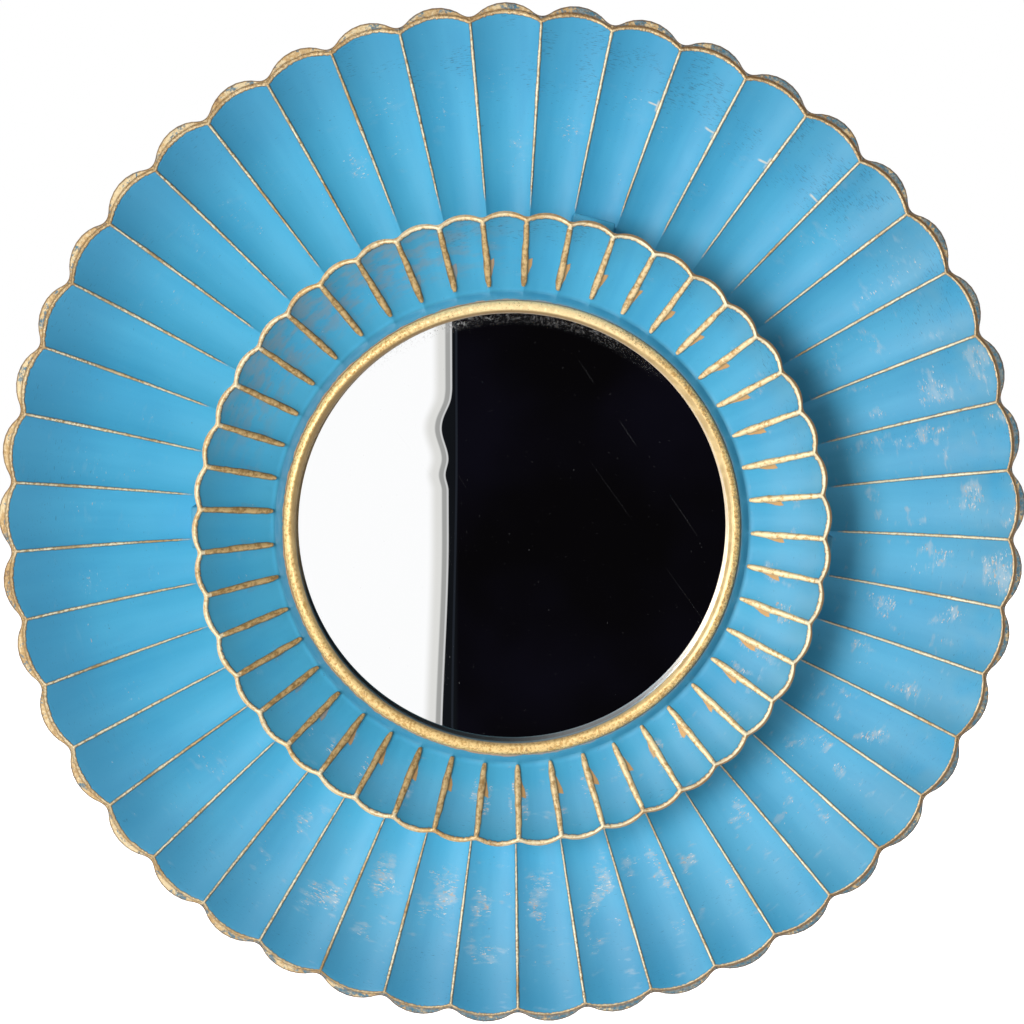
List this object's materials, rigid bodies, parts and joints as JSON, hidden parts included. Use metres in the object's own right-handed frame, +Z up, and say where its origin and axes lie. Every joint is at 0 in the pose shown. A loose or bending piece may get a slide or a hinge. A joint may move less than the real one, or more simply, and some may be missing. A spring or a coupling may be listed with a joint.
{
  "type": "wall mirror",
  "caption": "Round two-tier wall mirror: a wide fluted dish with a scalloped rim carries a raised fluted ring around a small round glass with a half-round bead.",
  "frame": {"origin": "where the mirror's axis meets the wall: the middle of the plane that the felt dots stand in", "axes": "+Z up, +X to the right as one faces the mirror, +Y into the wall; the glass faces -Y"},
  "size_m": [0.2509, 0.0327, 0.2508],
  "materials": {
    "painted_moulding": "satin sky-blue paint with gold rubbed on the edges and dry-brushed over the flutes",
    "gold_paint": "satin gold paint, pebbled on its outer half",
    "silvered_glass": "3 mm float glass, silvered and painted behind, with fine scratches and dust",
    "card": "plain kraft card",
    "foam": "soft closed-cell foam",
    "hardboard": "smooth brown hardboard",
    "zinc_steel": "bright zinc plate",
    "brass_rivet": "dull brass plate",
    "felt": "short dark felt"
  },
  "bodies": {
    "mirror": {"outer_fluted_dish": "painted_moulding", "inner_fluted_ring": "painted_moulding", "glazing_bead": "gold_paint", "mirror_glass": "silvered_glass", "card_liner": "card", "foam_pad": "foam", "backing_board": "hardboard", "ring_screws": "zinc_steel", "board_screws": "zinc_steel", "wall_bumpers": "felt", "hanger_strap": "zinc_steel", "hanger_rivets": "brass_rivet"},
    "loop": {"hanger_ring": "zinc_steel"}
  },
  "joints": [
    {"name": "loop_swing", "type": "hinge", "parent": "mirror", "child": "loop", "pos_m": [0, -0.00177, 0.057], "axis": [1, 0, 0], "range_deg": [0, 176]}
  ]
}
